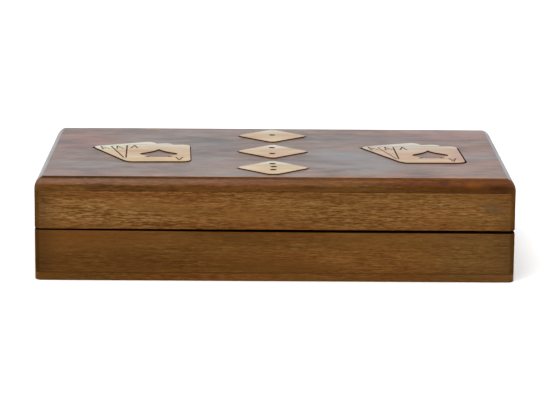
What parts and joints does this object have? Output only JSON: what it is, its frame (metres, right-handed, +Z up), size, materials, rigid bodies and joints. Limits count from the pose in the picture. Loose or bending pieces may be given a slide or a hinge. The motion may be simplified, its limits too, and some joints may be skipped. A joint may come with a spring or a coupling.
{
  "type": "card and dice box",
  "caption": "Hinged wooden box for playing cards and dice, with two deck wells, a dice channel and light wood inlays let into the lid.",
  "frame": {"origin": "on the surface the box stands on, under the middle of its wooden body; the hinge knuckles stand out behind it", "axes": "+X to the right seen from the front, +Y to the back where the hinges are, +Z up"},
  "size_m": [0.1802, 0.1127, 0.0398],
  "materials": {
    "base_wood": "oiled dark wood, satin",
    "lid_wood": "oiled dark wood, satin",
    "inlay_wood": "light close-grained wood with burnt cut edges",
    "hinge_brass": "satin, slightly dulled"
  },
  "bodies": {
    "base": {"base_bottom_panel": "base_wood", "base_front_wall": "base_wood", "base_back_wall": "base_wood", "base_left_wall": "base_wood", "base_right_wall": "base_wood", "divider_left": "base_wood", "divider_right": "base_wood", "hinge_left_base_leaf": "hinge_brass", "hinge_left_pin": "hinge_brass", "hinge_right_base_leaf": "hinge_brass", "hinge_right_pin": "hinge_brass", "hinge_screws_base": "hinge_brass"},
    "lid": {"lid_top_panel": "lid_wood", "lid_front_wall": "lid_wood", "lid_back_wall": "lid_wood", "lid_left_wall": "lid_wood", "lid_right_wall": "lid_wood", "fan_inlay_left": "inlay_wood", "fan_inlay_right": "inlay_wood", "dice_inlay_one": "inlay_wood", "dice_inlay_two": "inlay_wood", "dice_inlay_three": "inlay_wood", "hinge_left_lid_leaf": "hinge_brass", "hinge_right_lid_leaf": "hinge_brass", "hinge_screws_lid": "hinge_brass"}
  },
  "joints": [
    {"name": "lid_hinge", "type": "hinge", "parent": "base", "child": "lid", "pos_m": [0, 0.0565, 0.0202], "axis": [-1, 0, 0], "range_deg": [0, 180]}
  ]
}
